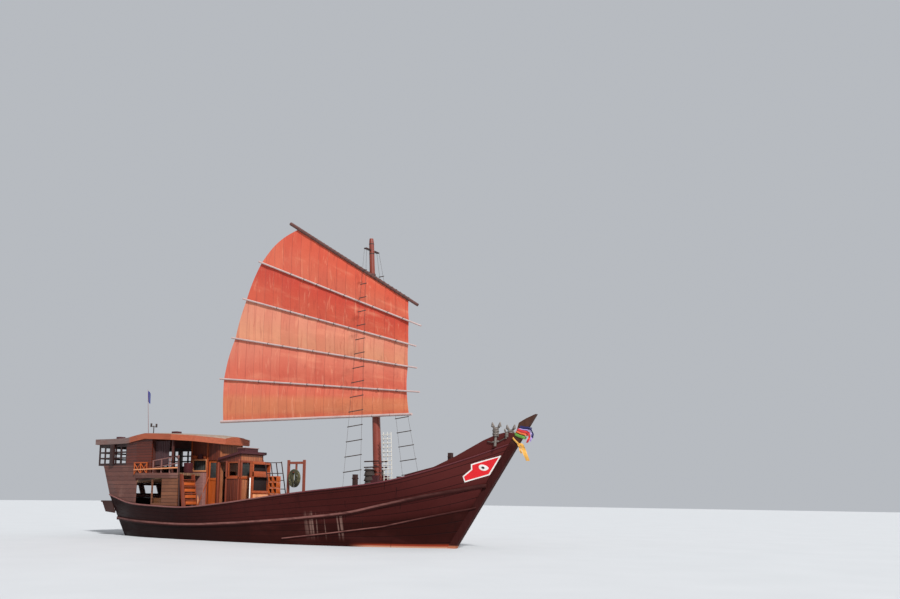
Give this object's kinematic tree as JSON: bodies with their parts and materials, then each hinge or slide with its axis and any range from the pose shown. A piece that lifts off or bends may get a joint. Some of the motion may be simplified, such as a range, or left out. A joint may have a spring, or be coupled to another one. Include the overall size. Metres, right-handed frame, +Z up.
{
  "type": "motor sailing junk",
  "caption": "Wooden junk with a battened lug sail on a raked mast, a high raking bow, a deckhouse under a long cambered roof and a latticed stern cabin.",
  "frame": {"origin": "amidships on the centre line, at the waterline", "axes": "+X to the bow, +Y to port, +Z up"},
  "size_m": [22.7695, 5.33, 16.0822],
  "materials": {
    "bronze": "satin",
    "canvas": "matt",
    "dark_wood": "matt",
    "deck_plank": "matt",
    "engine_iron": "matt",
    "hull_paint": "satin",
    "keel_paint": "satin",
    "mast_wood": "satin",
    "roof_board_wood": "gloss",
    "roof_top": "matt",
    "rope": "matt",
    "spar_wood": "matt",
    "varnish": "gloss",
    "weathered_wood": "matt"
  },
  "bodies": {
    "boat": {"hull": "hull_paint", "bulwark_starboard": "hull_paint", "bulwark_port": "hull_paint", "wale": "hull_paint", "cap_rail": "weathered_wood", "stem": "keel_paint", "keel": "keel_paint", "engine": "engine_iron", "main_deck": "deck_plank", "bow_bulwark": "hull_paint", "quarter_side_starboard": "weathered_wood", "quarter_side_port": "weathered_wood", "stern_panel": "weathered_wood", "poop_deck": "weathered_wood", "cabin_side_starboard": "varnish", "cabin_side_port": "varnish", "gallery_windows": "dark_wood", "cabin_portal": "varnish", "roof": "roof_top", "roof_board": "roof_board_wood", "roof_beam_starboard": "varnish", "roof_beam_port": "varnish", "poop_rail_starboard": "varnish", "poop_rail_port": "varnish", "lower_side_starboard": "varnish", "lower_side_port": "varnish", "stair": "varnish", "house_side_port": "varnish", "house_side_starboard": "varnish", "house_front": "varnish", "wheelhouse_side_starboard": "varnish", "wheelhouse_side_port": "varnish", "wheelhouse_front": "varnish", "wheelhouse_roof": "dark_wood", "cabinet": "varnish", "rack": "dark_wood", "rope_stand": "varnish", "rope_coil": "rope", "mast": "mast_wood", "mast_partners": "mast_wood", "windlass_cheeks": "dark_wood", "bollard_starboard": "mast_wood", "bollard_port": "mast_wood", "bow_bitt": "mast_wood", "ladder_starboard": "rope", "ladder_port": "rope", "stern_platform": "dark_wood"},
    "rig": {"yard": "spar_wood", "batten_1": "spar_wood", "batten_2": "spar_wood", "batten_3": "spar_wood", "batten_4": "spar_wood", "boom": "spar_wood", "sail": "canvas"},
    "rudder": {"rudder": "keel_paint"},
    "steering": {"steering_wheel": "varnish"},
    "screw": {"propeller": "bronze"},
    "windlass": {"windlass_barrel": "mast_wood"},
    "door": {"side_door": "varnish"},
    "hatch": {"engine_hatch": "deck_plank"}
  },
  "joints": [
    {"name": "sail_swing", "type": "hinge", "parent": "boat", "child": "rig", "pos_m": [4.846, 0, 1.74], "axis": [-0.0586, 0, 0.9983], "range_deg": [-35, 35]},
    {"name": "rudder_turn", "type": "hinge", "parent": "boat", "child": "rudder", "pos_m": [-8.5, 0, -1], "axis": [0, 0, 1], "range_deg": [-35, 35]},
    {"name": "wheel_turn", "type": "hinge", "parent": "boat", "child": "steering", "pos_m": [-2.68, 0, 2.33], "axis": [1, 0, 0], "range_deg": [-350, 350]},
    {"name": "propeller_spin", "type": "hinge", "parent": "boat", "child": "screw", "pos_m": [-7.68, 0, -1.18], "axis": [1, 0, 0], "continuous": true},
    {"name": "windlass_turn", "type": "hinge", "parent": "boat", "child": "windlass", "pos_m": [6.05, 0, 2.3956], "axis": [0, 1, 0], "continuous": true},
    {"name": "side_door_swing", "type": "hinge", "parent": "boat", "child": "door", "pos_m": [-3.71, -0.666, 2], "axis": [0, 0, -1], "range_deg": [0, 90]},
    {"name": "hatch_lift", "type": "hinge", "parent": "boat", "child": "hatch", "pos_m": [-5.81, 0, 0.9576], "axis": [0, -1, 0], "range_deg": [0, 95]}
  ],
  "couplings": [
    {"joint": "wheel_turn", "follows": "rudder_turn", "ratio": 10}
  ]
}
